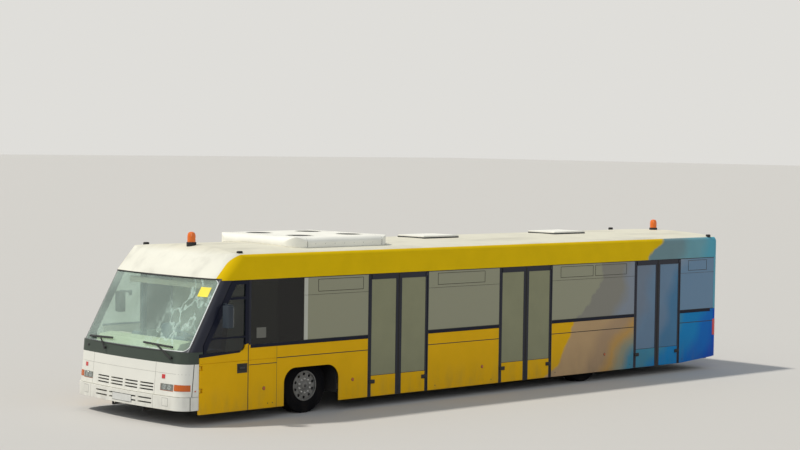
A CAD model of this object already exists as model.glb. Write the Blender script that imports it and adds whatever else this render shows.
"""Looks of an airport passenger bus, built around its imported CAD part.

The row frame is used throughout: -Y is the front, +X the vehicle's left, +Z up, in metres.
A distance from the front is called s, and fy(s) is its Y.
"""
from __future__ import annotations

import logging
import math
from dataclasses import dataclass
from enum import Enum
from typing import Callable, ClassVar, Iterable, Sequence

import bmesh
import bpy
from mathutils import Matrix, Vector

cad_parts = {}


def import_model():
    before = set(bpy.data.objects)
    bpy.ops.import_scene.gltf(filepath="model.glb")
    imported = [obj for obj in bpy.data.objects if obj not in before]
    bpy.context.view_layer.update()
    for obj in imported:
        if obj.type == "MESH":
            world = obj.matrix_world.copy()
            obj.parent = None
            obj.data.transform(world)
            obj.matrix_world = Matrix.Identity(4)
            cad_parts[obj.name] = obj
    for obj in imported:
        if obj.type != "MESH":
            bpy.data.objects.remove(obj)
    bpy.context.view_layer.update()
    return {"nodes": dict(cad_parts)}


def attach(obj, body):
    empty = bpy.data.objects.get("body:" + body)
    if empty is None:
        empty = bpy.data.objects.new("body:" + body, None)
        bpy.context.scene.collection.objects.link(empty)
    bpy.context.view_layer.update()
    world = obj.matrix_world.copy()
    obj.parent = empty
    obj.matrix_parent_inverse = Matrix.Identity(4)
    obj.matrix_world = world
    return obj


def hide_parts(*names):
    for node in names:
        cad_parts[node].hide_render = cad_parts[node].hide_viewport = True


log = logging.getLogger("bus")

Colour = tuple[float, float, float]
Point = tuple[float, float, float]
Span = tuple[float, float]
Surface = Callable[[float, float, float], Point]
# Two ends across a surface and two ends up it
Patch = tuple[Span, Span]
# Material, low corner, high corner, edge radius
Box = tuple[str, Point, Point, float]


class Side(Enum):
    """A side of the bus, by the letter in its names."""

    LEFT = "l"
    RIGHT = "r"

    @property
    def sign(self) -> int:
        """The sign of X there."""
        return 1 if self is Side.LEFT else -1


class End(Enum):
    """The leaf of a door that is nearer to this end of the bus."""

    FRONT = "front"
    REAR = "rear"


# Half the body's length and width, and the heights of its lines
HALF_LEN = 6.9
HALF_W = 1.5
SKIRT_Z = 0.185
SPLIT_Z = 0.548
CREASE_Z = 0.998
BELT_Z = 1.25
BELT_H = 0.054
PANE_TOP = 2.211
CANT_Z = 2.31
ROOF_Z = 2.81
# The doors' middles and the axles, from the front
DOORS = (4.7955, 8.06196, 11.92734)
AXLES = {"f": 2.8, "r": 9.9}
WHEELS = ("fl", "fr", "rl", "rr")
# Each leaf on a side: its door's number and its end
LEAVES = tuple((number, end) for number in (1, 2, 3) for end in End)
UP = Vector((0, 0, 1))
# Half of a colour line's soft edge
SOFT = 0.001


def fy(s: float) -> float:
    """Y of a distance from the front."""
    return s - HALF_LEN


def about(middle: float, half: float) -> Span:
    """The two ends of a span about its middle."""
    return middle - half, middle + half


def ordered(a: float, b: float) -> Span:
    """Two ends in rising order."""
    return min(a, b), max(a, b)


class Zone(Enum):
    """Which colours the wave pattern takes on."""

    PANEL = "panel"
    FILM = "film"
    BAND = "band"


# Colours of the wave pattern as stops: (Y where the colour starts, colour)
WAVES: dict[Zone, tuple[tuple[float, Colour], ...]] = {
    Zone.PANEL: (
        (0.0, (0.78, 0.43, 0.002)),
        (1.70, (0.50, 0.33, 0.17)),
        (2.55, (0.42, 0.28, 0.16)),
        (3.10, (0.52, 0.30, 0.09)),
        (3.45, (0.30, 0.29, 0.20)),
        (3.85, (0.06, 0.25, 0.36)),
        (4.75, (0.006, 0.22, 0.50)),
        (5.55, (0.002, 0.145, 0.50)),
        (6.15, (0.001, 0.080, 0.47)),
    ),
    Zone.FILM: (
        (0.0, (0.245, 0.245, 0.142)),
        (2.6, (0.165, 0.158, 0.120)),
        (3.35, (0.150, 0.195, 0.255)),
        (4.2, (0.125, 0.21, 0.31)),
        (5.0, (0.045, 0.17, 0.31)),
    ),
    Zone.BAND: (
        (0.0, (0.76, 0.50, 0.002)),
        (4.9, (0.17, 0.27, 0.29)),
        (5.6, (0.16, 0.35, 0.40)),
        (6.3, (0.10, 0.36, 0.46)),
    ),
}
# How far a colour change reaches, in metres; the hard one is the first, from yellow
SOFT_WAVE = 0.33
HARD_WAVE = 0.07


# Colours that more than one finish takes, and those of wear and of inner faces
YELLOW = WAVES[Zone.PANEL][0][1]
WHITE = (0.76, 0.74, 0.64)
AGED_WHITE = (0.64, 0.60, 0.46)
ROOF_STAIN = (0.36, 0.34, 0.29)
ROOF_INSIDE = (0.50, 0.52, 0.46)
FRONT_WHITE = (0.77, 0.755, 0.68)
NAVY = (0.012, 0.014, 0.026)
ROAD_DIRT = (0.16, 0.13, 0.095)
SKIRT_INSIDE = (0.46, 0.52, 0.44)
ARCH_INSIDE = (0.008, 0.008, 0.009)
WELL_INSIDE = (0.006, 0.006, 0.007)
CAB_TINT = (0.70, 0.76, 0.72)
PALE_SEAL = (0.75, 0.78, 0.74)


class Value:
    """A number in a material's nodes, whose arithmetic adds math nodes."""

    def __init__(self, graph: Graph, socket: bpy.types.NodeSocket) -> None:
        """Wraps an output socket of a graph."""
        self.graph = graph
        self.socket = socket

    def __add__(self, other: Value | float) -> Value:
        """The sum."""
        return self.graph.math("ADD", self, other)

    def __sub__(self, other: Value | float) -> Value:
        """The difference."""
        return self.graph.math("SUBTRACT", self, other)

    def __rsub__(self, other: float) -> Value:
        """The difference from a plain number."""
        return self.graph.math("SUBTRACT", other, self)

    def __mul__(self, other: Value | float) -> Value:
        """The product."""
        return self.graph.math("MULTIPLY", self, other)

    def __pow__(self, other: float) -> Value:
        """The power."""
        return self.graph.math("POWER", self, other)

    def __abs__(self) -> Value:
        """The size without its sign."""
        return self.graph.math("ABSOLUTE", self)

    def most(self, other: Value | float) -> Value:
        """The larger of two."""
        return self.graph.math("MAXIMUM", self, other)

    def least(self, other: Value | float) -> Value:
        """The smaller of two."""
        return self.graph.math("MINIMUM", self, other)

    def step(self, low: float, high: float) -> Value:
        """A smooth rise of this number.

        Args:
            low: Where it is 0.
            high: Where it is 1.

        Returns:
            The rise.
        """
        made = self.graph.node("ShaderNodeMapRange", interpolation_type="SMOOTHSTEP")
        self.graph.link(self, made.inputs["Value"])
        made.inputs["From Min"].default_value = low
        made.inputs["From Max"].default_value = high
        return Value(self.graph, made.outputs[0])


Source = Value | bpy.types.NodeSocket | Colour | float


class Graph:
    """Builds one material's nodes."""

    def __init__(self, name: str) -> None:
        """Starts an empty material.

        Args:
            name: The material's name.
        """
        self.material = bpy.data.materials.new(name)
        self.material.use_nodes = True
        self.tree = self.material.node_tree
        self.tree.nodes.clear()
        self.out = self.node("ShaderNodeOutputMaterial")
        self.geometry = self.node("ShaderNodeNewGeometry").outputs
        self.x, self.y, self.z = self.parts("Position")

    def node(self, kind: str, **settings: object) -> bpy.types.Node:
        """Adds a node.

        Args:
            kind: Its type.
            settings: Its attributes.

        Returns:
            The node.
        """
        made = self.tree.nodes.new(kind)
        for key, value in settings.items():
            setattr(made, key, value)
        return made

    def link(self, source: Source, target: bpy.types.NodeSocket) -> None:
        """Links a value to an input, or sets the input to a plain value.

        Args:
            source: A value or socket of this graph, a colour or a number.
            target: The input.
        """
        if isinstance(source, Value):
            source = source.socket
        if isinstance(source, bpy.types.NodeSocket):
            self.tree.links.new(source, target)
        elif isinstance(source, tuple) and len(target.default_value) == 4:
            target.default_value = (*source, 1.0)
        else:
            target.default_value = source

    def parts(self, kind: str) -> list[Value]:
        """Splits a vector of the surface.

        Args:
            kind: Position or True Normal.

        Returns:
            Its X, Y and Z.
        """
        split = self.node("ShaderNodeSeparateXYZ")
        self.link(self.geometry[kind], split.inputs[0])
        return [Value(self, part) for part in split.outputs]

    def math(self, operation: str, a: Value | float, b: Value | float = 0.0, clamp: bool = False) -> Value:
        """Adds a math node.

        Args:
            operation: What it does.
            a: Its first number.
            b: Its second number.
            clamp: Whether the result is kept from 0 to 1.

        Returns:
            The result.
        """
        made = self.node("ShaderNodeMath", operation=operation, use_clamp=clamp)
        self.link(a, made.inputs[0])
        self.link(b, made.inputs[1])
        return Value(self, made.outputs[0])

    def mix(self, factor: Value, a: Source, b: Source) -> bpy.types.NodeSocket:
        """Mixes two colours.

        Args:
            factor: How much there is of the second one.
            a: The first one.
            b: The second one.

        Returns:
            The mixed colour.
        """
        made = self.node("ShaderNodeMix", data_type="RGBA")
        for source, number in ((factor, 0), (a, 6), (b, 7)):
            self.link(source, made.inputs[number])
        return made.outputs[2]

    def blend(self, factor: Value, a: bpy.types.Node, b: bpy.types.Node) -> bpy.types.Node:
        """Mixes two shaders.

        Args:
            factor: How much there is of the second one.
            a: The first one.
            b: The second one.

        Returns:
            The node that mixes them.
        """
        made = self.node("ShaderNodeMixShader")
        for source, number in ((factor, 0), (a.outputs[0], 1), (b.outputs[0], 2)):
            self.link(source, made.inputs[number])
        return made

    def noise(self, scale: float, detail: float, stretch: Point = (1, 1, 1)) -> Value:
        """Noise of the position, from about 0.3 to 0.7.

        Args:
            scale: How many cells there are in a metre.
            detail: How many finer layers it has.
            stretch: The scale along each axis.

        Returns:
            The noise.
        """
        mapping = self.node("ShaderNodeMapping")
        self.link(self.geometry["Position"], mapping.inputs["Vector"])
        mapping.inputs["Scale"].default_value = stretch
        made = self.node("ShaderNodeTexNoise")
        self.link(mapping.outputs[0], made.inputs["Vector"])
        made.inputs["Scale"].default_value = scale
        made.inputs["Detail"].default_value = detail
        return Value(self, made.outputs["Fac"])

    def outer_face(self) -> Value:
        """1 on the outer faces of the body's sides, 0 further in."""
        return abs(self.x).step(HALF_W - 0.012, HALF_W - 0.008)

    def off_axle(self, axle: str) -> Value:
        """The distance along the body from an axle."""
        return abs(self.y - fy(AXLES[axle]))

    def waves(self, zone: Zone) -> bpy.types.NodeSocket:
        """The soft wave pattern that runs along the sides.

        Args:
            zone: Which colours it takes.

        Returns:
            The pattern's colour.
        """
        slope, level = {Zone.PANEL: (0.95, 0.2), Zone.FILM: (0.55, 1.0), Zone.BAND: (0.5, 2.5)}[zone]
        along = self.y - (self.z - level) * slope
        for count, size in ((3.3, 0.13), (8.5, 0.045)):
            along += self.math("SINE", (self.z + self.y * 0.45) * count) * size
        along += (self.noise(5.0, 6.0) - 0.5) * 0.22
        ramp = self.node("ShaderNodeValToRGB")
        self.link(self.math("DIVIDE", along, HALF_LEN), ramp.inputs[0])
        stops = WAVES[zone]
        elements = ramp.color_ramp.elements
        elements[0].position = 0.0
        elements[0].color = (*stops[0][1], 1)
        elements.remove(elements[1])
        for number, ((start, colour), (_, before)) in enumerate(zip(stops[1:], stops)):
            reach = SOFT_WAVE if number else HARD_WAVE
            for place, shade in ((start, before), (start + reach, colour)):
                elements.new(place / HALF_LEN).color = (*shade, 1)
        return ramp.outputs[0]

    def finish(self, shader: bpy.types.Node) -> bpy.types.Material:
        """Ends the material with a shader."""
        self.link(shader.outputs[0], self.out.inputs[0])
        return self.material


@dataclass(frozen=True)
class Finish:
    """A paint, plastic, metal or rubber with wear, dirt and rounded edges."""

    name: str
    colour: Colour = (0.5, 0.5, 0.5)
    rough: float = 0.4
    metallic: float = 0.0
    coat: float = 0.0
    mottle: float = 0.06
    mottle_scale: float = 2.5
    dust: float = 0.0
    bump: float = 0.0
    bump_scale: float = 60.0
    edge: float = 0.004
    glow: float = 0.0
    specular: float = 0.5

    def colours(self, graph: Graph) -> Source:
        """The colour before wear and dirt."""
        return self.colour

    def build(self) -> bpy.types.Material:
        """Makes the material.

        Returns:
            The material, darker in patches and dusty near the ground.
        """
        graph = Graph(self.name)
        worn = graph.node("ShaderNodeHueSaturation")
        graph.link(self.colours(graph), worn.inputs["Color"])
        patchy = (graph.noise(self.mottle_scale, 5.0) - 0.5) * (self.mottle * 6) + 1.0
        graph.link(patchy, worn.inputs["Value"])
        low = 1.0 - graph.z.step(0.12, 0.75)
        patches = graph.noise(7.0, 7.0, (1, 1, 0.35)).step(0.35, 0.75)
        dirt = graph.math("MULTIPLY", low * patches, self.dust, clamp=True)
        colour = graph.mix(dirt, worn.outputs[0], ROAD_DIRT)
        shader = graph.node("ShaderNodeBsdfPrincipled")
        settings = {
            "Base Color": colour,
            "Roughness": graph.math("ADD", dirt * 0.4, self.rough, clamp=True),
            "Metallic": self.metallic,
            "Specular IOR Level": self.specular,
            "Coat Weight": self.coat,
            "Coat Roughness": 0.08,
        }
        if self.glow:
            settings |= {"Emission Color": colour, "Emission Strength": self.glow}
        for name, source in settings.items():
            graph.link(source, shader.inputs[name])
        self.relief(graph, shader)
        return graph.finish(shader)

    def relief(self, graph: Graph, shader: bpy.types.Node) -> None:
        """Rounds the edges and adds fine bumps.

        Args:
            graph: The material's nodes.
            shader: The shader that takes the relief.
        """
        target = shader.inputs["Normal"]
        if self.bump:
            made = graph.node("ShaderNodeBump")
            made.inputs["Strength"].default_value = self.bump
            made.inputs["Distance"].default_value = 0.002
            graph.link(graph.noise(self.bump_scale, 4.0), made.inputs["Height"])
            graph.link(made.outputs[0], target)
            target = made.inputs["Normal"]
        if self.edge:
            rounded = graph.node("ShaderNodeBevel", samples=4)
            rounded.inputs["Radius"].default_value = self.edge
            graph.link(rounded.outputs[0], target)


@dataclass(frozen=True)
class WaveFinish(Finish):
    """Paint or film in the wave pattern."""

    zone: Zone = Zone.PANEL

    def colours(self, graph: Graph) -> Source:
        """The pattern's colours."""
        return graph.waves(self.zone)


@dataclass(frozen=True)
class SkirtFinish(WaveFinish):
    """Side panels: the pattern under the black belt strip, and dark inside the front arch."""

    belt: Span = (1.475, 13.6425)
    arch_half: float = 0.77
    arch_top: float = 0.98

    def colours(self, graph: Graph) -> Source:
        """The pattern, the belt strip and the inner faces.

        Args:
            graph: The material's nodes.

        Returns:
            The colour.
        """
        colour = graph.waves(self.zone)
        front, rear = (fy(end) for end in self.belt)
        foot = BELT_Z - BELT_H
        belt = graph.z.step(*about(foot, SOFT)) * (graph.y.step(*about(front, 0.005))
                                                   * graph.y.step(rear + 0.0025, rear - 0.0025))
        arch = (graph.off_axle("f").step(self.arch_half + 0.01, self.arch_half - 0.01)
                * graph.z.step(self.arch_top + 0.01, self.arch_top - 0.01))
        inner = graph.mix(arch, SKIRT_INSIDE, ARCH_INSIDE)
        return graph.mix(graph.outer_face(), inner, graph.mix(belt, colour, NAVY))


@dataclass(frozen=True)
class RoofFinish(WaveFinish):
    """The roof: white on top, with the coloured band along each side."""

    band_top: float = 2.745
    band_x: float = 1.362
    band_x_most: float = 1.45
    band_curve: float = 2.9
    cap_foot: float = 2.55

    def colours(self, graph: Graph) -> Source:
        """White with the band, which starts on the corner of the front cap.

        Args:
            graph: The material's nodes.

        Returns:
            The colour.
        """
        below = 1.0 - graph.z.step(*about(self.band_top, 0.003))
        line = (graph.z - self.cap_foot).most(0.0) ** 2.0 * self.band_curve + self.band_x
        beyond = abs(graph.x) - line.least(self.band_x_most)
        mask = below * beyond.step(-SOFT, SOFT)
        stains = graph.noise(3.0, 8.0, (1, 0.25, 1)).step(0.45, 0.8)
        level = graph.parts("True Normal")[2].step(0.85, 0.98)
        base = graph.mix(level * 0.6, WHITE, AGED_WHITE)
        top = graph.mix(stains * 0.35, base, ROOF_STAIN)
        seen = graph.mix(mask, top, graph.waves(Zone.BAND))
        return graph.mix(graph.z.step(CANT_Z - 0.004, CANT_Z - 0.002), ROOF_INSIDE, seen)


@dataclass(frozen=True)
class PillarFinish(WaveFinish):
    """The posts: near-black, and in the band's colours at the rear corners."""

    def colours(self, graph: Graph) -> Source:
        """Near-black, and the pattern on the rear corners' outer faces."""
        behind = graph.y.step(fy(13.735), fy(13.738))
        return graph.mix(behind * graph.outer_face(), NAVY, graph.waves(self.zone))


@dataclass(frozen=True)
class FrontPaint(Finish):
    """The white front, with the hinges of the driver's door in its yellow."""

    def colours(self, graph: Graph) -> Source:
        """White, and yellow behind the front's rear edge."""
        return graph.mix(graph.y.step(fy(0.424), fy(0.426)), self.colour, YELLOW)


@dataclass(frozen=True)
class IndicatorFinish(Finish):
    """The front lamps' amber, which gives way to white paint behind the front corner."""

    def colours(self, graph: Graph) -> Source:
        """Amber, and white on the corner's side."""
        corner = graph.y.step(fy(0.274), fy(0.278)) * graph.y.step(fy(1.0), fy(0.9))
        return graph.mix(corner, self.colour, FRONT_WHITE)


@dataclass(frozen=True)
class FloorFinish(Finish):
    """The floor, near-black inside the wheel wells."""

    well_x: float = 0.68
    half_wells: tuple[tuple[str, float], ...] = (("f", 0.615), ("r", 0.53))

    def colours(self, graph: Graph) -> Source:
        """Floor grey and the wells' dirt.

        Args:
            graph: The material's nodes.

        Returns:
            The colour.
        """
        wells = [1.0 - graph.off_axle(axle).step(half, half + 0.01) for axle, half in self.half_wells]
        outward = abs(graph.x).step(self.well_x, self.well_x + 0.005)
        return graph.mix(outward * (wells[0] + wells[1]), self.colour, WELL_INSIDE)


@dataclass(frozen=True)
class DoorPaint(Finish):
    """The driver's door: yellow below a line that rises at its rear, near-black above it."""

    line_z: float = 1.095
    line_slope: float = 0.05
    rear_rise: float = 0.125

    def colours(self, graph: Graph) -> Source:
        """Yellow and near-black.

        Args:
            graph: The material's nodes.

        Returns:
            The colour.
        """
        line = (graph.y - fy(0.43)) * self.line_slope + self.line_z
        rear = graph.y.step(fy(1.24), fy(1.40)) * self.rear_rise
        return graph.mix((graph.z - (line + rear)).step(-SOFT, SOFT), self.colour, NAVY)


@dataclass(frozen=True)
class Glass:
    """A thin pane: tinted, with a clear coat's reflection and some film or dust on it."""

    name: str
    tint: Colour
    film: float
    film_colour: Colour = (0.5, 0.5, 0.5)

    def layers(self, graph: Graph) -> tuple[Source, Source, Value | float]:
        """The tint, the film's colour and how much of the pane the film covers."""
        return self.tint, self.film_colour, self.film

    def build(self) -> bpy.types.Material:
        """Makes the material.

        Returns:
            A material that light passes straight through, so that what lies behind shows undistorted.
        """
        graph = Graph(self.name)
        tint, colour, amount = self.layers(graph)
        clear = graph.node("ShaderNodeBsdfTransparent")
        graph.link(tint, clear.inputs[0])
        cover = graph.node("ShaderNodeBsdfPrincipled")
        for name, source in (("Base Color", colour), ("Roughness", 0.35), ("Coat Weight", 0.6),
                             ("Coat Roughness", 0.05)):
            graph.link(source, cover.inputs[name])
        shine = graph.node("ShaderNodeBsdfGlossy")
        shine.inputs["Roughness"].default_value = 0.03
        turned = Value(graph, graph.node("ShaderNodeLayerWeight").outputs["Facing"])
        mirrored = turned ** 5.0 * 0.96 + 0.04
        return graph.finish(graph.blend(mirrored, graph.blend(amount, clear, cover), shine))


@dataclass(frozen=True)
class FilmGlass(Glass):
    """The side panes: covered by printed film behind the cab, and lighter right of the driver."""

    film_from: float = 2.612
    cab_to: float = 1.44

    def layers(self, graph: Graph) -> tuple[Source, Source, Value]:
        """The printed film over the tint.

        Args:
            graph: The material's nodes.

        Returns:
            The tint, the film's pattern and where it covers the panes.
        """
        cab = graph.y.step(fy(self.cab_to), fy(self.cab_to - 0.005)) * graph.x.step(0.1, 0.0)
        covered = graph.y.step(*about(fy(self.film_from), SOFT)) * self.film
        return graph.mix(cab, self.tint, CAB_TINT), graph.waves(Zone.FILM), covered


@dataclass(frozen=True)
class ScreenGlass(Glass):
    """The windscreen: hazy, with a dark border, a pale line inside it and creased film."""

    haze: float = 0.17
    half_w: float = 1.43
    heights: Span = (1.19, 2.34)
    radius: float = 0.09
    margin: float = 0.010

    def creases(self, graph: Graph) -> Value:
        """Fine light creases in the film, in a slanting band before the driver's place.

        Args:
            graph: The material's nodes.

        Returns:
            How much they cover.
        """
        away = abs(graph.x - ((graph.z - 1.2) * 0.4 + 0.85))
        ridge = abs(graph.noise(4.2, 6.0, (1.0, 1.0, 0.45)) - 0.5)
        return ridge.step(0.030, 0.0) * away.step(0.75, 0.05) * 0.42

    def layers(self, graph: Graph) -> tuple[Source, Source, Value]:
        """The haze, the creases and the border over the tint.

        Args:
            graph: The material's nodes.

        Returns:
            The tint, the colours over it and how much they cover.
        """
        wisps = graph.noise(1.7, 4.0, (1.0, 1.0, 0.6)).step(0.35, 0.80)
        amount = wisps * self.haze + self.film + self.creases(graph)
        amount *= graph.parts("True Normal")[1].step(0.1, -0.1)
        low, high = self.heights
        inset = self.margin + self.radius
        across = (abs(graph.x) - (self.half_w - inset)).most(0.0)
        up = (abs(graph.z - (low + high) / 2) - ((high - low) / 2 - inset)).most(0.0)
        away = (across ** 2 + up ** 2) ** 0.5
        edge = away.step(*about(self.radius, 0.002))
        line = away.step(*about(self.radius - 0.010, SOFT)) * graph.x.step(0.3, 1.0)
        colour = graph.mix(edge, graph.mix(line, self.film_colour, PALE_SEAL), NAVY)
        return self.tint, colour, edge.most(line).most(amount)


class Look:
    """The materials, each made once."""

    PANEL: ClassVar[dict[str, float]] = {"rough": 0.36, "coat": 0.06, "mottle": 0.03, "specular": 0.07}
    FRONT: ClassVar[dict[str, float]] = {"rough": 0.38, "coat": 0.25, "mottle": 0.025, "dust": 0.3,
                                         "edge": 0.007, "specular": 0.2}
    POST: ClassVar[dict[str, float]] = {"rough": 0.36, "coat": 0.1, "dust": 0.1, "specular": 0.25}
    KINDS: ClassVar[tuple[Finish | Glass, ...]] = (
        SkirtFinish("skirt_paint", dust=0.22, **PANEL),
        WaveFinish("wave_paint", dust=0.22, edge=0.0, **PANEL),
        WaveFinish("door_film", rough=0.4, coat=0.2, mottle=0.04, dust=0.15, edge=0.0, specular=0.2,
                   zone=Zone.FILM),
        RoofFinish("roof_paint", rough=0.55, mottle=0.03, edge=0.005, specular=0.06),
        DoorPaint("cab_door_paint", YELLOW, dust=0.2, **PANEL),
        Finish("white_paint", FRONT_WHITE, **FRONT),
        FrontPaint("front_paint", FRONT_WHITE, **FRONT),
        Finish("tail_paint", (0.001, 0.080, 0.48), rough=0.36, coat=0.04, dust=0.2, specular=0.08),
        Finish("navy_frame", NAVY, **POST),
        PillarFinish("pillar_paint", zone=Zone.BAND, **POST),
        Finish("apron_grey", (0.045, 0.060, 0.047), rough=0.45, mottle=0.05, specular=0.3),
        Finish("black_rubber", (0.012, 0.012, 0.013), rough=0.7, dust=0.25),
        Finish("seam", (0.03, 0.028, 0.02), rough=0.8, edge=0.0),
        Finish("pale_seam", (0.35, 0.34, 0.30), rough=0.7, edge=0.0),
        Finish("tyre_rubber", (0.004, 0.004, 0.005), rough=0.85, dust=0.06, bump=0.4, bump_scale=150.0,
               specular=0.08),
        Finish("wheel_silver", (0.16, 0.158, 0.150), rough=0.42, metallic=0.35, mottle=0.2, mottle_scale=9.0,
               dust=0.3),
        Finish("nut_steel", (0.58, 0.57, 0.54), rough=0.40, metallic=0.5, mottle=0.10, dust=0.2),
        Finish("steel_dark", (0.05, 0.05, 0.052), rough=0.55, metallic=0.4, dust=0.5),
        Finish("chassis_black", (0.018, 0.018, 0.02), rough=0.7, dust=0.6, bump=0.3),
        FloorFinish("floor_grey", (0.09, 0.095, 0.10), rough=0.7, dust=0.1, bump=0.3, bump_scale=90.0),
        Finish("amber", (0.76, 0.145, 0.004), rough=0.25, coat=0.2, dust=0.05, glow=0.05, edge=0.0),
        IndicatorFinish("indicator_amber", (0.54, 0.10, 0.003), rough=0.25, coat=0.12, dust=0.05, edge=0.0),
        Finish("mirror_shell", (0.030, 0.040, 0.052), rough=0.45, specular=0.3),
        Finish("marker_lens", (0.50, 0.09, 0.006), rough=0.3, coat=0.6, dust=0.1, edge=0.0),
        Finish("film_frame", (0.50, 0.50, 0.42), rough=0.5, edge=0.0),
        Finish("red_lens", (0.55, 0.008, 0.012), rough=0.25, coat=0.8, dust=0.1, glow=0.05, edge=0.0),
        Finish("lamp_chrome", (0.75, 0.75, 0.74), rough=0.2, metallic=0.9),
        Finish("lamp_bed", (0.24, 0.23, 0.18), metallic=0.3),
        Finish("label_grey", (0.13, 0.13, 0.11), rough=0.6, edge=0.0),
        Finish("unit_white", (0.86, 0.84, 0.75), rough=0.5, mottle=0.05, edge=0.02),
        Finish("fan_dark", (0.02, 0.021, 0.022), rough=0.6),
        Finish("dash_green", (0.54, 0.56, 0.38), rough=0.6, bump=0.3),
        Finish("cab_beige", (0.66, 0.60, 0.47), rough=0.6),
        Finish("cab_slate", (0.05, 0.085, 0.13), rough=0.6),
        Finish("seat_cloth", (0.04, 0.05, 0.12), rough=0.9, bump=0.5, bump_scale=220.0),
        Finish("rail_yellow", (0.75, 0.55, 0.03), rough=0.35),
        Finish("mirror_silver", (0.85, 0.87, 0.88), rough=0.03, metallic=1.0, edge=0.0),
        Finish("sticker_yellow", (0.85, 0.72, 0.05), rough=0.5, edge=0.0),
        Finish("plate_white", (0.68, 0.68, 0.64), rough=0.45, dust=0.2, edge=0.0),
        ScreenGlass("windscreen_glass", (0.91, 0.965, 0.93), 0.13, (0.52, 0.67, 0.59)),
        FilmGlass("film_glass", (0.24, 0.25, 0.25), 0.94),
        Glass("cab_glass", (0.38, 0.41, 0.42), 0.03, (0.1, 0.11, 0.12)),
        Glass("lens_clear", (0.85, 0.87, 0.86), 0.12, (0.6, 0.62, 0.6)),
    )

    def __init__(self) -> None:
        """Makes every material."""
        self._made = {kind.name: kind.build() for kind in self.KINDS}

    def __getitem__(self, name: str) -> bpy.types.Material:
        """The material of that name."""
        return self._made[name]


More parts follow.
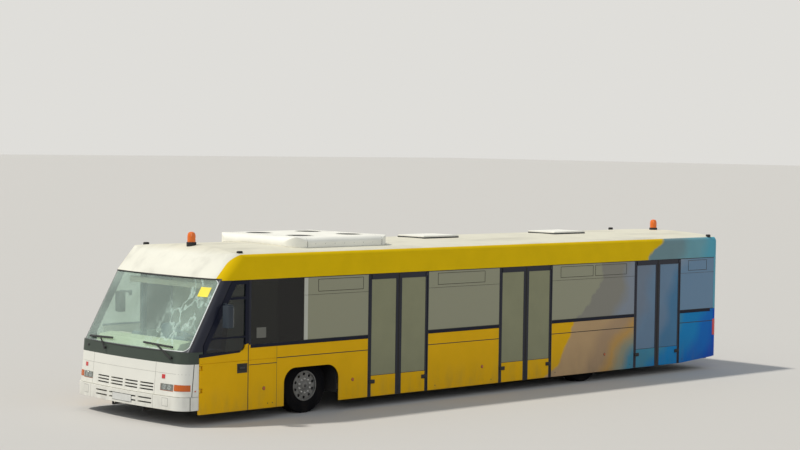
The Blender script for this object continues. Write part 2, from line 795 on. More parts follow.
class Piece:
    """Gathers the faces of one visual piece and makes its object."""

    def __init__(self, name: str, look: Look) -> None:
        """Starts an empty piece.

        Args:
            name: Its name.
            look: The materials.
        """
        self.name = name
        self.look = look
        self.points: list[Vector] = []
        self.faces: list[tuple[int, ...]] = []
        self.kinds: list[int] = []
        self.materials: list[str] = []
        self.current = 0

    def use(self, material: str) -> Piece:
        """Makes the next faces of another material.

        Args:
            material: Its name.

        Returns:
            The piece itself.
        """
        if material not in self.materials:
            self.materials.append(material)
        self.current = self.materials.index(material)
        return self

    def add(self, points: Iterable[Sequence[float]], faces: Iterable[Sequence[int]]) -> Piece:
        """Adds faces over new points.

        Args:
            points: The new points.
            faces: Each face's corners, as numbers among the new points.

        Returns:
            The piece itself.
        """
        start = len(self.points)
        self.points += [Vector(p) for p in points]
        for face in faces:
            self.faces.append(tuple(start + i for i in face))
            self.kinds.append(self.current)
        return self

    def skin(self, rings: Sequence[Sequence[Sequence[float]]], closed: bool = False) -> Piece:
        """Joins rings of points, ring after ring.

        Args:
            rings: Rings of equally many points.
            closed: Whether the last ring joins the first one; otherwise both ends are capped.

        Returns:
            The piece itself.
        """
        count, size = len(rings), len(rings[0])
        faces = []
        for ring in range(count if closed else count - 1):
            here, ahead = ring * size, (ring + 1) % count * size
            for k in range(size):
                after = (k + 1) % size
                faces.append((here + k, here + after, ahead + after, ahead + k))
        if not closed:
            faces += [tuple(range(size))[::-1], tuple(range((count - 1) * size, count * size))]
        return self.add([point for ring in rings for point in ring], faces)

    def boxes(self, rows: Iterable[Box]) -> Piece:
        """Adds boxes with rounded edges.

        Args:
            rows: Each one's material, lowest and highest corner, each as (X, s, Z), and edge radius.

        Returns:
            The piece itself.
        """
        for material, low, high, radius in rows:
            solid = bmesh.new()
            bmesh.ops.create_cube(solid, size=1.0)
            corner = Vector((low[0], fy(low[1]), low[2]))
            size = Vector((high[0], fy(high[1]), high[2])) - corner
            for v in solid.verts:
                v.co = Vector(corner[i] + (v.co[i] + 0.5) * size[i] for i in range(3))
            bmesh.ops.bevel(solid, geom=solid.edges[:], offset=radius, segments=2, profile=0.5,
                            affect="EDGES")
            solid.verts.index_update()
            self.use(material).add([v.co.copy() for v in solid.verts],
                                   [[v.index for v in f.verts] for f in solid.faces])
            solid.free()
        return self

    def lathe(self, profile: Sequence[Span], centre: Sequence[float], axis: Sequence[float],
              segments: int, closed: bool = False) -> Piece:
        """Adds a turned solid.

        Args:
            profile: Its rings as (radius, height along the axis).
            centre: Where the axis starts.
            axis: The axis's direction.
            segments: How many faces go round it.
            closed: Whether its last ring joins the first one, as in a hoop.

        Returns:
            The piece itself.
        """
        along = Vector(axis).normalized()
        side = along.orthogonal().normalized()
        other = along.cross(side)
        turns = [2 * math.pi * i / segments for i in range(segments)]
        ways = [side * math.cos(a) + other * math.sin(a) for a in turns]
        return self.skin([[Vector(centre) + along * height + way * reach for way in ways]
                          for reach, height in profile], closed)

    def plates(self, material: str, surface: Surface, depth: Span, rows: Iterable[Patch],
               steps: tuple[int, int] = (1, 1)) -> Piece:
        """Adds plates of one material and thickness that follow a surface.

        Args:
            material: Their material.
            surface: Turns a place on the surface and a height over it into a point.
            depth: The heights of their backs and faces over the surface.
            rows: Each plate's two ends across and two ends up the surface.
            steps: How many faces each has across and up.

        Returns:
            The piece itself.
        """
        self.use(material)
        nu, nv = steps
        row = nu + 1
        layer = row * (nv + 1)
        faces = []
        for j in range(nv):
            for i in range(nu):
                a = j * row + i
                face = (a, a + 1, a + row + 1, a + row)
                faces += [face[::-1], tuple(layer + corner for corner in face)]
        rim = [*range(row), *(j * row + nu for j in range(1, nv + 1)),
               *(nv * row + i for i in range(nu - 1, -1, -1)), *(j * row for j in range(nv - 1, 0, -1))]
        faces += [(a, b, layer + b, layer + a) for a, b in zip(rim, rim[1:] + rim[:1])]
        for (left, right), (low, high) in rows:
            self.add([surface(left + (right - left) * i / nu, low + (high - low) * j / nv, d)
                      for d in depth for j in range(nv + 1) for i in range(row)], faces)
        return self

    def make(self, body: str, slot: str, replaces: Sequence[str] = (), smooth: float = 35.0) -> None:
        """Makes the object, which rides on a body.

        Args:
            body: The CAD body that carries it.
            slot: The record's material slot that it takes its finish from.
            replaces: CAD nodes that it stands for.
            smooth: Edges up to this angle, in degrees, are shaded smooth.
        """
        mesh = bpy.data.meshes.new(self.name)
        mesh.from_pydata(self.points, [], self.faces)
        mesh.polygons.foreach_set("material_index", self.kinds)
        mesh.polygons.foreach_set("use_smooth", [True] * len(self.faces))
        mesh.set_sharp_from_angle(angle=math.radians(smooth))
        for name in self.materials:
            mesh.materials.append(self.look[name])
        fixed = bmesh.new()
        fixed.from_mesh(mesh)
        bmesh.ops.recalc_face_normals(fixed, faces=fixed.faces[:])
        fixed.to_mesh(mesh)
        fixed.free()
        made = bpy.data.objects.new(self.name, mesh)
        bpy.context.scene.collection.objects.link(made)
        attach(made, body)
        if replaces:
            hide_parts(*replaces)
        log.info("piece %s on %s: %d faces", self.name, body, len(self.faces))


@dataclass(frozen=True)
class FrontSurface:
    """The bowed front with rounded corners, leaning back by degrees from a height."""

    s0: float
    z0: float
    lean: float
    bow: float = 10.28
    corner: float = 0.25

    def outline(self, along: float, out: float) -> tuple[float, float]:
        """A point of the plan outline.

        Args:
            along: The distance along the outline from its middle.
            out: How far the point lies outside the outline.

        Returns:
            X and the distance behind the foremost point.
        """
        side = 1.0 if along >= 0 else -1.0
        reach = abs(along)
        turn = math.asin((HALF_W - self.corner) / (self.bow - self.corner))
        if reach <= turn * self.bow:
            angle = reach / self.bow
            return side * (self.bow + out) * math.sin(angle), self.bow - (self.bow + out) * math.cos(angle)
        centre_y = self.bow - (self.bow - self.corner) * math.cos(turn)
        angle = turn + (reach - turn * self.bow) / self.corner
        if angle <= math.pi / 2:
            return (side * (HALF_W - self.corner + (self.corner + out) * math.sin(angle)),
                    centre_y - (self.corner + out) * math.cos(angle))
        return side * (HALF_W + out), centre_y + (angle - math.pi / 2) * self.corner

    def point(self, along: float, z: float, out: float) -> Point:
        """A point of the surface.

        Args:
            along: The distance along its outline from the middle.
            z: The height.
            out: How far the point is lifted off.

        Returns:
            X, Y and Z.
        """
        x, back = self.outline(along, out)
        lean = math.radians(self.lean)
        return x, fy(self.s0) + (z - self.z0) * math.tan(lean) + back / math.cos(lean), z


BUMPER = FrontSurface(0.0, 0.26, 0.0)
FASCIA = FrontSurface(0.03, 0.48, 4.8)
SCREEN = FrontSurface(0.092, 1.19, 29.6)


def side_plane(side: int) -> Surface:
    """The body's side as a surface, which turns (s, z, out) into a point."""
    return lambda s, z, out: (side * (HALF_W + out), fy(s), z)


# Each material, and the CAD nodes that it dresses
CAD_FINISHES: dict[str, tuple[str, ...]] = {
    "skirt_paint": ("skirt_left", "skirt_right"),
    "roof_paint": ("roof_shell", "front_cap"),
    "front_paint": ("bumper", "fascia"),
    "tail_paint": ("rear_panel",),
    "cab_door_paint": ("driver_door",),
    "pillar_paint": ("pillars",),
    "navy_frame": ("screen_pillars", *(f"leaf_{side.value}{number}_{end.value}"
                                       for side in Side for number, end in LEAVES)),
    "apron_grey": ("screen_apron",),
    "windscreen_glass": ("windscreen",),
    "film_glass": ("glass_left", "glass_right"),
    "cab_glass": ("driver_door_glass", "rear_glass"),
    "black_rubber": ("wipers",),
    "mirror_shell": ("mirror_left", "mirror_right"),
    "unit_white": ("roof_unit", "roof_hatches"),
    "chassis_black": ("underframe", "front_axle", "rear_axle", "knuckle_l", "knuckle_r", "tie_rod", "engine"),
    "floor_grey": ("floor",),
    "dash_green": ("dashboard",),
    "cab_slate": ("steering_wheel",),
    "cab_beige": ("partition",),
    "seat_cloth": ("driver_seat", "bench"),
    "rail_yellow": ("grab_rails",),
    "indicator_amber": ("lamps",),
    "wheel_silver": tuple("rim_" + wheel for wheel in WHEELS),
    "tyre_rubber": tuple("tyre_" + wheel for wheel in WHEELS),
}


@dataclass
class Shell:
    """Materials of the CAD nodes that stay as they are."""

    look: Look
    nodes: dict[str, bpy.types.Object]

    def dress(self) -> None:
        """Gives each CAD node its material."""
        for material, members in CAD_FINISHES.items():
            for member in members:
                mesh = self.nodes[member].data
                mesh.materials.clear()
                mesh.materials.append(self.look[material])


@dataclass
class DoorLeaf:
    """The panes, seals and hinge blocks of one passenger door leaf."""

    look: Look
    side: Side
    number: int
    end: End
    stile: float = 0.051
    meeting_stile: float = 0.066
    outer: float = 0.696
    meeting_gap: float = 0.004
    joint_half: float = 0.004
    seal_w: float = 0.018
    block: Point = (0.016, 0.135, 0.034)
    block_z: float = 0.445

    def build(self) -> None:
        """Makes the leaf's pane, lower panel, seals and hinge block."""
        side = self.side.sign
        middle = DOORS[self.number - 1]
        way = -1 if self.end is End.FRONT else 1
        place = side_plane(side)
        edge, meet = middle + way * self.outer, middle + way * self.meeting_gap
        pane = ordered(edge - way * self.stile, meet + way * self.meeting_stile)
        body = f"leaf_{self.side.value}{self.number}_{self.end.value}"
        piece = Piece(body + "_panel", self.look)
        low, high = about(SPLIT_Z, self.joint_half)
        for material, up, depth in (("door_film", (high, PANE_TOP), (-0.0078, -0.004)),
                                    ("wave_paint", (SKIRT_Z + 0.002, low), (-0.0048, -0.0008)),
                                    ("seam", (low, high), (-0.006, -0.002))):
            piece.plates(material, place, depth, [(pane, up)])
        seal = ordered(meet, meet + way * self.seal_w)
        piece.plates("black_rubber", place, (-0.03, 0.002), [(seal, (SKIRT_Z, CANT_Z - 0.006))])
        thick, length, half = self.block
        xs = ordered(side * HALF_W, side * (HALF_W + thick))
        ends = ordered(edge, edge - way * length)
        low, high = about(self.block_z, half)
        piece.boxes([("black_rubber", (xs[0], ends[0], low), (xs[1], ends[1], high), 0.008)])
        piece.make(body, "leaf_dark")


@dataclass
class Wheel:
    """A tyre with tread and a rim with nuts."""

    look: Look
    name: str
    x: float = 1.18
    hub_z: float = 0.46
    radius: float = 0.46
    groove: float = 0.011
    lug_cut: float = 0.010
    lug_from_x: float = 0.07
    segments: int = 168
    plate_x: float = 0.1273
    boss_x: float = 0.1403
    nuts: int = 10
    nut_ring: float = 0.117
    # (radius, half width) from the rim's seat to the shoulder
    flank: tuple[Span, ...] = (
        (0.2485, 0.124), (0.2545, 0.131), (0.262, 0.139), (0.272, 0.141), (0.276, 0.145), (0.300, 0.1500),
        (0.330, 0.1525), (0.352, 0.1525), (0.356, 0.1500), (0.385, 0.1490), (0.420, 0.143), (0.440, 0.138),
        (0.450, 0.134), (0.457, 0.126))
    # (depth below the top, half width) across the tread to the middle groove
    tread: tuple[Span, ...] = ((0, 0.118), (0, 0.075), (1, 0.073), (1, 0.064), (0, 0.062), (0, 0.012),
                               (1, 0.010))
    # (material, where it starts along the axle, profile, segments) of the hub's cap
    cap: tuple[tuple[str, float, tuple[Span, ...], int], ...] = (
        ("wheel_silver", 0.0, ((0.070, 0.0), (0.068, 0.008), (0.060, 0.013), (0.030, 0.015)), 40),
        ("steel_dark", 0.015, ((0.026, 0.0), (0.024, 0.006), (0.010, 0.008)), 24))
    nut: tuple[Span, ...] = ((0.019, 0), (0.019, 0.004), (0.0145, 0.005), (0.0145, 0.022), (0.010, 0.024))

    def build(self) -> None:
        """Makes the tyre in place of the CAD tyre, and the nuts and cap on the CAD rim."""
        side = Side(self.name[1]).sign
        centre = Vector((side * self.x, fy(AXLES[self.name[0]]), self.hub_z))
        self.tyre(centre, side)
        self.hub(centre, side)

    def tyre(self, centre: Vector, side: int) -> None:
        """Makes the tyre, whose shoulders are cut by short cross grooves.

        Args:
            centre: The wheel's centre.
            side: 1 on the left, -1 on the right.
        """
        half = [*self.flank, *((self.radius - depth * self.groove, x) for depth, x in self.tread)]
        full = half + [(r, -x) for r, x in reversed(half)]
        rings = []
        for i in range(self.segments):
            angle = 2 * math.pi * i / self.segments
            ring = []
            for r, x in full:
                shoulder = r > self.radius - 0.004 and abs(x) > self.lug_from_x
                reach = r - (self.lug_cut if shoulder and i % 4 == 0 else 0.0)
                ring.append(centre + Vector((side * x, reach * math.cos(angle), reach * math.sin(angle))))
            rings.append(ring)
        piece = Piece("tyre_tread_" + self.name, self.look).use("tyre_rubber").skin(rings, closed=True)
        piece.make("wheel_" + self.name, "tyre", ["tyre_" + self.name], smooth=30)

    def hub(self, centre: Vector, side: int) -> None:
        """Makes the wheel nuts and the hub's cap.

        Args:
            centre: The wheel's centre.
            side: 1 on the left, -1 on the right.
        """
        piece = Piece("hub_" + self.name, self.look).use("nut_steel")
        axle = Vector((side, 0, 0))
        for i in range(self.nuts):
            angle = 2 * math.pi * (i + 0.5) / self.nuts
            off = Vector((0, math.cos(angle), math.sin(angle))) * self.nut_ring
            piece.lathe(self.nut, centre + off + axle * self.plate_x, axle, 6)
        for material, start, profile, segments in self.cap:
            piece.use(material).lathe(profile, centre + axle * (self.boss_x + start), axle, segments)
        piece.make("wheel_" + self.name, "rim")


@dataclass
class FrontFace:
    """What is on the bumper, the fascia, the apron and the windscreen."""

    look: Look
    fascia_z: Span = (0.485, 0.998)
    bumper_z: Span = (0.262, 0.474)
    # (material, places along the front, half width, height over the panels) of the joints
    joints: tuple[tuple[str, Span, float, float], ...] = (
        ("pale_seam", (-0.945, 0.80), 0.003, 0.0008),
        ("seam", (-1.58, 1.58), 0.006, 0.001))
    rib: Patch = ((-1.52, 1.52), (0.838, 0.842))
    # (panel, depth, heights) of the air slots
    slots: tuple[tuple[FrontSurface, float, tuple[float, ...]], ...] = (
        (FASCIA, -0.030, (0.53, 0.58, 0.63)), (BUMPER, -0.040, (0.325, 0.395)))
    slot_middles: tuple[float, ...] = (-0.6, -0.2, 0.2, 0.6)
    slot_half: float = 0.168
    cover: Point = (1.095, 0.062, 0.324)
    cover_h: float = 0.122
    cover_joint: float = 0.006
    markers: Span = (-1.17, 1.0)
    lamp_middle: float = 1.09
    lamp_half: Span = (0.146, 0.051)
    lens_half: Span = (0.147, 0.052)
    reflectors: Span = (1.03, 1.15)
    reflector_z: float = 0.62
    reflector_rim: tuple[Span, ...] = ((0.049, -0.002), (0.049, 0.002), (0.045, 0.002), (0.045, -0.001))
    reflector: tuple[Span, ...] = ((0.044, -0.002), (0.044, 0.004), (0.038, 0.005), (0.026, 0.001),
                                   (0.012, 0.0), (0.006, 0.004))
    indicator: Span = (1.262, 1.545)
    screen_half: float = 1.462
    screen_seal: Span = (-0.004, 0.005)
    washer: Point = (-1.17, 1.11, 0.0)

    def build(self) -> None:
        """Makes the front's pieces."""
        self.seams()
        self.covers()
        self.lamps()
        self.plate()
        self.screen()

    def seams(self) -> None:
        """Panel joints, the raised rib and the slots' dark depths."""
        piece = Piece("front_seams", self.look)
        for material, places, half, top in self.joints:
            for surface, up, steps in ((FASCIA, self.fascia_z, (1, 6)), (BUMPER, self.bumper_z, (1, 2))):
                rows = [(about(x, half), up) for x in places]
                piece.plates(material, surface.point, (-0.004, top), rows, steps)
        piece.plates("pale_seam", FASCIA.point, (-0.004, 0.001), [self.rib], (48, 1))
        for surface, deep, heights in self.slots:
            rows = [(about(x, self.slot_half), (z + 0.001, z + 0.023))
                    for z in heights for x in self.slot_middles]
            piece.plates("fan_dark", surface.point, (deep, deep + 0.002), rows, (4, 1))
        piece.make("body", "white_paint")

    def covers(self) -> None:
        """The small covers in the bumper and the red markers over them."""
        piece = Piece("bumper_covers", self.look)
        middle, half, foot = self.cover
        for material, wider, top in (("pale_seam", self.cover_joint, 0.0006), ("white_paint", 0.0, 0.002)):
            up = (foot - wider, foot + self.cover_h + wider)
            rows = [(about(side * middle, half + wider), up) for side in (-1, 1)]
            piece.plates(material, BUMPER.point, (-0.002, top), rows, (3, 1))
        rows = [(about(x, 0.036), (0.752, 0.818)) for x in self.markers]
        piece.plates("red_lens", FASCIA.point, (-0.002, 0.006), rows, (3, 1))
        piece.make("body", "white_paint")

    def lamps(self) -> None:
        """Headlamps with two reflectors each, the corner indicators and the side repeaters."""
        piece = Piece("front_lamps", self.look)
        for side in (-1, 1):
            middle, way = side * self.lamp_middle, (0.1 * side, -1, 0.08)
            for material, half, depth in (("lamp_bed", self.lamp_half, (-0.004, -0.001)),
                                          ("lens_clear", self.lens_half, (0.0045, 0.0065))):
                rows = [(about(middle, half[0]), about(self.reflector_z, half[1]))]
                piece.plates(material, FASCIA.point, depth, rows, (4, 2))
            for spot in self.reflectors:
                base = FASCIA.point(side * spot, self.reflector_z, -0.001)
                piece.use("steel_dark").lathe(self.reflector_rim, base, way, 32)
                piece.use("lamp_chrome").lathe(self.reflector, base, way, 32)
            ends = ordered(*(side * end for end in self.indicator))
            piece.plates("indicator_amber", FASCIA.point, (0.001, 0.006), [(ends, (0.577, 0.667))], (12, 1))
            piece.plates("marker_lens", side_plane(side), (-0.001, 0.004), [((0.342, 0.368), (0.560, 0.581))])
        piece.make("body", "amber_plastic")

    def plate(self) -> None:
        """The blank number plate on its holder."""
        piece = Piece("number_plate", self.look)
        for material, half, up, top in (("plate_white", 0.26, (0.302, 0.412), 0.006),
                                        ("black_rubber", 0.265, (0.297, 0.417), 0.004)):
            piece.plates(material, BUMPER.point, (0.0, top), [(about(0.0, half), up)], (6, 1))
        piece.make("body", "white_paint")

    def screen(self) -> None:
        """The windscreen's seal, the blank sticker and the washer jet."""
        piece = Piece("screen_trim", self.look)
        half = self.screen_half
        rows = [(about(0.0, half), up) for up in ((1.181, 1.193), (2.318, 2.332))]
        piece.plates("black_rubber", SCREEN.point, self.screen_seal, rows, (48, 1))
        rows = [(ordered(side * (half - 0.012), side * half), (1.19, 2.32)) for side in (-1, 1)]
        piece.plates("black_rubber", SCREEN.point, self.screen_seal, rows, (1, 12))
        piece.plates("sticker_yellow", SCREEN.point, (0.001, 0.002), [((1.14, 1.36), (2.05, 2.20))], (6, 2))
        profile = ((0.022, -0.004), (0.022, 0.010), (0.014, 0.014))
        piece.use("steel_dark").lathe(profile, FASCIA.point(*self.washer), (0, -1, 0.08), 20)
        piece.make("body", "black_plastic")


@dataclass
class SideTrim:
    """Window vents, seals, hatch joints, markers and a label of one side."""

    look: Look
    side: Side
    bays: tuple[Span, ...] = ((2.615, 4.07), (5.52, 7.337), (8.787, 11.202), (12.652, 13.74))
    vents: tuple[Span, ...] = ((2.93, 3.95), (5.75, 6.95), (9.02, 9.95), (10.02, 10.95), (12.9, 13.5))
    vent_z: Span = (2.060, 2.262)
    vent_line: float = 0.004
    pane_line: Span = (2.005, 2.010)
    cab_post: Span = (2.600, 2.616)
    crease_from: float = 2.04
    film_edge: Span = (2.617, 2.700)
    markers: tuple[float, ...] = (1.765, 3.727, 6.906, 10.33)
    marker_z: float = 0.515
    label: Patch = ((1.60, 1.80), (1.35, 1.52))
    hatch: tuple[Patch, ...] = (((1.444, 2.036), (0.914, 0.926)), ((2.032, 2.038), (SKIRT_Z, 1.196)))
    plugs: tuple[float, ...] = (1.85, 1.95, 5.707, 7.149, 8.9, 11.1, 12.75)
    plug_z: float = 0.263
    plug_half: float = 0.008
    back: float = -0.0022

    def build(self) -> None:
        """Makes the side's pieces."""
        side = self.side.sign
        place = side_plane(side)
        piece = Piece("side_trim_" + self.side.value, self.look)
        low, high = self.vent_z
        line = self.vent_line
        seals = [(bay, (z, z + 0.012)) for bay in self.bays for z in (BELT_Z, CANT_Z - 0.012)]
        vents = [(vent, about(z, line)) for vent in self.vents for z in (high, low)]
        vents += [(about(s, line), (low, high)) for vent in self.vents for s in vent]
        creases = [(bay, about(CREASE_Z, 0.007))
                   for bay in ((self.crease_from, self.bays[0][1]), *self.bays[1:])]
        plugs = [(about(s, self.plug_half), about(self.plug_z, self.plug_half)) for s in self.plugs]
        film_edge = [(self.film_edge, (BELT_Z + 0.012, CANT_Z - 0.014))]
        for material, depth, rows in (
                ("black_rubber", (self.back, 0.001), seals),
                ("seam", (self.back, 0.0006), vents),
                ("seam", (self.back, 0.0004), [(bay, self.pane_line) for bay in self.bays]),
                ("seam", (self.back, 0.001), [(self.cab_post, (BELT_Z, CANT_Z))]),
                ("seam", (-0.001, 0.0006), [*self.hatch, *creases]),
                ("seam", (-0.001, 0.002), plugs),
                ("film_frame", (self.back, 0.0004), film_edge)):
            piece.plates(material, place, depth, rows)
        if side > 0:
            piece.plates("label_grey", place, (self.back, 0.0003), [self.label])
        for s in self.markers:
            base = place(s, self.marker_z, -0.001)
            for material, profile in (("steel_dark", ((0.031, 0.0), (0.031, 0.003), (0.028, 0.004))),
                                      ("marker_lens", ((0.026, 0.003), (0.024, 0.009), (0.012, 0.012)))):
                piece.use(material).lathe(profile, base, (side, 0, 0), 24)
        piece.make("body", "dark_paint")


@dataclass
class RoofGear:
    """The roof unit's fans, the hatches' lids, the beacons and the corner lugs."""

    look: Look
    fans_s: Span = (3.3075, 4.4425)
    fans_x: Span = (-0.55, 0.55)
    recess_z: float = 2.9
    unit_top: float = 2.945
    blades: int = 5
    fan_floor: tuple[Span, ...] = ((0.223, 0.0004), (0.223, 0.001))
    fan_rim: tuple[Span, ...] = ((0.227, -0.001), (0.243, -0.001), (0.243, 0.004), (0.227, 0.004))
    guard_rings: tuple[float, ...] = (0.09, 0.145, 0.20)
    guard_bars: int = 4
    guard_reach: float = 0.2235
    beacons: Span = (1.395, 13.6)
    beacon_foot: tuple[Span, ...] = ((0.083, -0.03), (0.083, 0.04), (0.072, 0.046))
    beacon_dome: tuple[Span, ...] = ((0.070, 0.042), (0.071, 0.14), (0.066, 0.175), (0.050, 0.205),
                                     (0.02, 0.2185))
    hatches: Span = (6.9487, 10.5447)
    hatch_half: Span = (0.353, 0.453)
    hatch_z: Span = (2.80, 2.83)
    hatch_joint: float = 0.003
    # (s, X, foot) of the corner lugs
    lugs: tuple[Point, ...] = ((1.33, -1.19, 2.725), (1.33, 1.37, 2.700), (13.62, -1.19, 2.735),
                               (13.62, 1.43, 2.70))
    joints: Span = (3.02, 4.74)
    unit_side: Point = (1.1003, 2.775, 2.850)
    unit_corner: tuple[float, float] = (1.005, 0.0953)

    def build(self) -> None:
        """Makes the roof's pieces."""
        self.fans()
        self.unit_joints()
        self.top()

    def fans(self) -> None:
        """The fans and their guards in the roof unit's four openings."""
        piece = Piece("roof_fans", self.look)
        for s in self.fans_s:
            for x in self.fans_x:
                foot, top = (Vector((x, fy(s), z)) for z in (self.recess_z, self.unit_top))
                piece.use("fan_dark").lathe(self.fan_floor, foot, UP, 48)
                piece.use("unit_white").lathe(self.fan_rim, top, UP, 48, closed=True)
                piece.use("steel_dark")
                for k in range(self.blades):
                    self.blade(piece, foot, 2 * math.pi * (k + 0.25) / self.blades)
                for radius in self.guard_rings:
                    low, high = about(radius, 0.002)
                    hoop = ((low, -0.004), (high, -0.004), (high, 0.0), (low, 0.0))
                    piece.lathe(hoop, top, UP, 48, closed=True)
                for k in range(self.guard_bars):
                    angle = math.pi * k / self.guard_bars
                    rod = [(0.0025, end) for end in about(0.0, self.guard_reach)]
                    piece.lathe(rod, top - UP * 0.002, (math.cos(angle), math.sin(angle), 0), 6)
        piece.make("body", "white_plastic")

    def blade(self, piece: Piece, centre: Vector, angle: float) -> None:
        """Adds one pitched fan blade.

        Args:
            piece: The piece that it joins.
            centre: The fan's centre.
            angle: Where it points.
        """
        points = []
        for radius in (0.064, 0.205):
            for turn, height in ((-0.25, 0.006), (0.25, 0.030)):
                off = Vector((radius * math.cos(angle + turn), radius * math.sin(angle + turn), height))
                points += [centre + off, centre + off + UP * 0.002]
        faces = [(0, 2, 6, 4), (1, 5, 7, 3), (0, 1, 3, 2), (4, 6, 7, 5), (0, 4, 5, 1), (2, 3, 7, 6)]
        piece.add(points, faces)

    def top(self) -> None:
        """The beacons, the edges round the hatches and the corner lugs."""
        piece = Piece("beacons_and_lugs", self.look)
        for s in self.beacons:
            foot = (0.0, fy(s), ROOF_Z)
            piece.use("black_rubber").lathe(self.beacon_foot, foot, UP, 32)
            piece.use("amber").lathe(self.beacon_dome, foot, UP, 32)
        rows: list[Box] = []
        half_x, half_s = self.hatch_half
        low, high = self.hatch_z
        for s in self.hatches:
            for way in (-1, 1):
                for x, end, wide, long in ((way * half_x, s, self.hatch_joint, half_s),
                                           (0.0, s + way * half_s, half_x, self.hatch_joint)):
                    corners = (x - wide, end - long, low), (x + wide, end + long, high)
                    rows += [("black_rubber", *corners, 0.001)]
        rows += [("black_rubber", (x - 0.03, s - 0.05, foot), (x + 0.03, s + 0.05, foot + 0.075), 0.015)
                 for s, x, foot in self.lugs]
        piece.boxes(rows)
        piece.make("body", "amber_plastic")

    def unit_joints(self) -> None:
        """Joints across the roof unit and the screws along its sides."""
        piece = Piece("unit_joints", self.look).use("seam")
        x, low, high = self.unit_side
        middle, radius = self.unit_corner
        turns = [math.pi / 2 * k / 6 for k in range(1, 7)]
        outline = [(x, low), (x, high)]
        outline += [(middle + radius * math.cos(a), high + radius * math.sin(a)) for a in turns]
        outline += [(-x, z) for x, z in reversed(outline)]
        for s in self.joints:
            points = [(x, fy(end), z) for x, z in outline for end in about(s, 0.004)]
            piece.add(points, [(2 * i, 2 * i + 1, 2 * i + 3, 2 * i + 2) for i in range(len(outline) - 1)])
        piece.use("pale_seam")
        for side in (-1, 1):
            for i in range(7):
                spot = (side * 1.1, fy(3.2 + 0.22 * i), 2.83)
                piece.lathe(((0.007, -0.001), (0.006, 0.002)), spot, (side, 0, 0), 12)
        piece.make("body", "white_plastic")


@dataclass
class DriverDoor:
    """The driver's door's handle and seals, and the mirror glasses."""

    look: Look
    recess: Patch = ((1.200, 1.410), (0.800, 0.955))
    rear_seam: Span = (1.422, 1.437)
    handle: tuple[Box, ...] = (
        ("black_rubber", (1.500, 1.225, 0.845), (1.518, 1.390, 0.925), 0.007),
        ("steel_dark", (1.515, 1.240, 0.872), (1.526, 1.350, 0.898), 0.004))
    # (side, body, s of the glass) of the mirrors
    mirrors: tuple[tuple[Side, str, float], ...] = (
        (Side.LEFT, "driver_door", 0.905), (Side.RIGHT, "body", 1.205))
    mirror_x: float = 1.69
    mirror_half: float = 0.078
    mirror_z: Span = (1.587, 1.913)

    def build(self) -> None:
        """Makes the handle on the door and the two mirror glasses."""
        place = side_plane(1)
        piece = Piece("driver_door_trim", self.look)
        piece.plates("seam", place, (-0.002, 0.002), [self.recess])
        piece.boxes(self.handle)
        piece.plates("seam", place, (-0.002, 0.0008), [(self.rear_seam, (SKIRT_Z, BELT_Z))])
        piece.make("driver_door", "yellow_paint")
        low, high = self.mirror_z
        for side, body, back in self.mirrors:
            x0, x1 = about(side.sign * self.mirror_x, self.mirror_half)
            rows = [("mirror_silver", (x0, back + 0.0004, low), (x1, back + 0.003, high), 0.001)]
            Piece("mirror_glass_" + side.value, self.look).boxes(rows).make(body, "black_plastic")


@dataclass
class Cab:
    """What shows through the windscreen: instruments, blind, side panel, posts and a paper."""

    look: Look
    parts: tuple[Box, ...] = (
        ("cab_slate", (0.36, 0.60, 1.26), (0.86, 0.70, 1.37), 0.03),
        ("cab_beige", (-1.15, 0.95, 2.14), (1.15, 1.02, 2.24), 0.02),
        ("cab_beige", (-1.486, 0.66, 1.20), (-1.462, 1.42, 1.375), 0.004),
        ("cab_slate", (-1.486, 0.64, 1.375), (-1.45, 1.42, 1.405), 0.005),
        ("cab_slate", (1.17, 0.50, 1.21), (1.40, 0.72, 1.30), 0.02),
        ("cab_slate", (-1.43, 1.41, 0.71), (-1.38, 1.50, 2.29), 0.008),
        ("cab_slate", (-0.75, 0.72, 1.20), (-0.55, 0.80, 1.34), 0.02),
        ("cab_slate", (-0.30, 0.98, 0.70), (-0.02, 1.22, 1.50), 0.05),
        ("cab_beige", (-1.12, 0.66, 1.292), (-0.75, 0.78, 1.300), 0.002))

    def build(self) -> None:
        """Makes the cab's small parts."""
        Piece("cab_details", self.look).boxes(self.parts).make("body", "dash")


@dataclass
class Rear:
    """Tail lamps, the rear grille and a blank plate."""

    look: Look
    back: float = 2 * HALF_LEN
    lamp_x: float = 1.37
    lamp_half: float = 0.048
    # (foot, top, material) of each chamber
    chambers: tuple[tuple[float, float, str], ...] = (
        (0.70, 0.796, "red_lens"), (0.81, 0.906, "amber"), (0.92, 1.026, "red_lens"))
    lamp_z: Span = (0.70, 1.03)
    slats: int = 9
    slat_foot: float = 0.46
    slat_pitch: float = 0.05

    def build(self) -> None:
        """Makes the tail's pieces."""
        back, (foot, top) = self.back, self.lamp_z
        rows: list[Box] = [("plate_white", (-0.26, back - 0.001, 0.32), (0.26, back + 0.006, 0.43), 0.002)]
        for side in (-1, 1):
            x0, x1 = about(side * self.lamp_x, self.lamp_half)
            rows += [(material, (x0, back + 0.001, low), (x1, back + 0.026, high), 0.006)
                     for low, high, material in self.chambers]
            x0, x1 = about(side * (HALF_W + 0.001) - 0.014, 0.016)
            rows += [("red_lens", (x0, back - 0.075, foot), (x1, back + 0.004, top), 0.001)]
        for z in (self.slat_foot + i * self.slat_pitch for i in range(self.slats)):
            rows += [("fan_dark", (-0.55, back - 0.001, z), (0.55, back + 0.004, z + 0.022), 0.001)]
        Piece("tail_details", self.look).boxes(rows).make("body", "blue_paint")


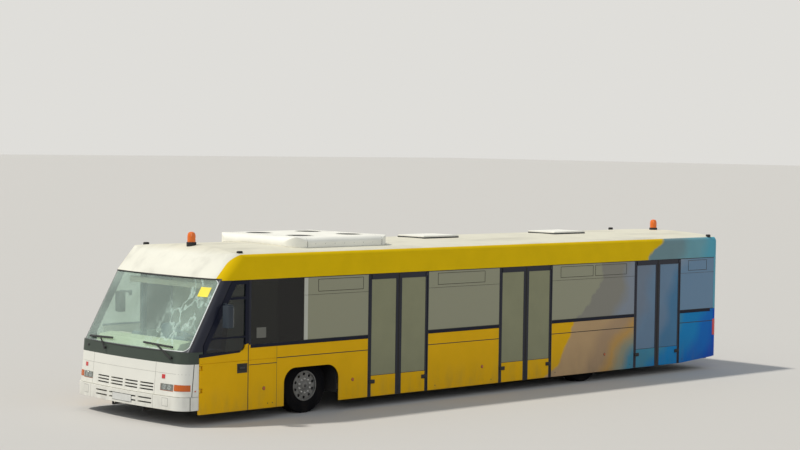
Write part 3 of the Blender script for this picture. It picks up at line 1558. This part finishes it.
@dataclass
class Studio:
    """The camera, the pale floor and the soft lights."""

    focal_px: float = 1926.16
    eye: Point = (25.8147, -25.2008, 4.5767)
    yaw: float = 136.4776
    pitch: float = -2.45656
    roll: float = 0.84396
    picture_px: float = 800
    sensor: float = 36.0
    floor_half: float = 400.0
    floor_colour: Colour = (0.55, 0.53, 0.50)
    sky_colour: Colour = (0.78, 0.88, 1.0)
    sky_strength: float = 0.42
    paper_colour: Colour = (0.74, 0.73, 0.70)
    # (name, where it shines from, strength, spread in degrees, colour)
    suns: tuple[tuple[str, Point, float, float, Colour], ...] = (
        ("key", (-0.36, -0.44, 0.9), 2.7, 4.0, (1.0, 0.96, 0.88)),
        ("fill", (1.0, -0.9, 0.7), 0.55, 35.0, (0.97, 0.98, 1.0)))

    def build(self) -> None:
        """Sets the camera, the floor, the lights and the film."""
        scene = bpy.context.scene
        scene.view_settings.view_transform = "Standard"
        scene.view_settings.look = "None"
        self.camera()
        self.floor()
        self.world()
        for name, source, strength, spread, colour in self.suns:
            data = bpy.data.lights.new(name, "SUN")
            data.energy = strength
            data.angle = math.radians(spread)
            data.color = colour
            made = bpy.data.objects.new(name, data)
            made.rotation_euler = Vector(source).to_track_quat("Z", "Y").to_euler()
            scene.collection.objects.link(made)

    def camera(self) -> None:
        """Sets the camera at the photograph's angle."""
        yaw, pitch, roll = (math.radians(a) for a in (self.yaw, self.pitch, self.roll))
        ahead = Vector((math.cos(pitch) * math.cos(yaw), math.cos(pitch) * math.sin(yaw), math.sin(pitch)))
        right = ahead.cross(Vector((0, 0, 1))).normalized()
        up = right.cross(ahead)
        across = right * math.cos(roll) + up * math.sin(roll)
        above = up * math.cos(roll) - right * math.sin(roll)
        turn = Matrix((across, above, -ahead)).transposed().to_4x4()
        data = bpy.data.cameras.new("camera")
        data.sensor_width = self.sensor
        data.lens = self.focal_px / self.picture_px * self.sensor
        data.clip_end = 2000
        made = bpy.data.objects.new("camera", data)
        made.matrix_world = Matrix.Translation(self.eye) @ turn
        bpy.context.scene.collection.objects.link(made)
        bpy.context.scene.camera = made

    def floor(self) -> None:
        """Makes the plain floor under the bus."""
        mesh = bpy.data.meshes.new("floor_stage")
        size = self.floor_half
        corners = [(-size, -size, 0), (size, -size, 0), (size, size, 0), (-size, size, 0)]
        mesh.from_pydata(corners, [], [(0, 1, 2, 3)])
        made = bpy.data.objects.new("floor_stage", mesh)
        bpy.context.scene.collection.objects.link(made)
        graph = Graph("stage_floor")
        shader = graph.node("ShaderNodeBsdfPrincipled")
        graph.link(self.floor_colour, shader.inputs["Base Color"])
        graph.link(0.85, shader.inputs["Roughness"])
        mesh.materials.append(graph.finish(shader))

    def world(self) -> None:
        """Lights the scene by a soft sky, and shows pale paper to the camera, to metal and to glass."""
        world = bpy.data.worlds.new("studio")
        bpy.context.scene.world = world
        world.use_nodes = True
        tree = world.node_tree
        sky = tree.nodes["Background"]
        sky.inputs[0].default_value = (*self.sky_colour, 1)
        sky.inputs[1].default_value = self.sky_strength
        paper = tree.nodes.new("ShaderNodeBackground")
        paper.inputs[0].default_value = (*self.paper_colour, 1)
        paths = tree.nodes.new("ShaderNodeLightPath")
        chosen = tree.nodes.new("ShaderNodeMixShader")
        seen: bpy.types.NodeSocket = paths.outputs["Is Camera Ray"]
        for kind in ("Is Glossy Ray", "Is Transmission Ray"):
            either = tree.nodes.new("ShaderNodeMath")
            either.operation = "MAXIMUM"
            tree.links.new(seen, either.inputs[0])
            tree.links.new(paths.outputs[kind], either.inputs[1])
            seen = either.outputs[0]
        for source, target in ((seen, chosen.inputs[0]), (sky.outputs[0], chosen.inputs[1]),
                               (paper.outputs[0], chosen.inputs[2]),
                               (chosen.outputs[0], tree.nodes["World Output"].inputs[0])):
            tree.links.new(source, target)


def main() -> None:
    """Builds the looks of the whole bus."""
    logging.basicConfig(level=logging.INFO, format="%(message)s")
    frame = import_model()
    look = Look()
    Shell(look, frame["nodes"]).dress()
    for side in Side:
        SideTrim(look, side).build()
        for number, end in LEAVES:
            DoorLeaf(look, side, number, end).build()
    for name in WHEELS:
        Wheel(look, name).build()
    for part in (FrontFace, RoofGear, DriverDoor, Cab, Rear):
        part(look).build()
    Studio().build()


if __name__ == "__main__":
    main()
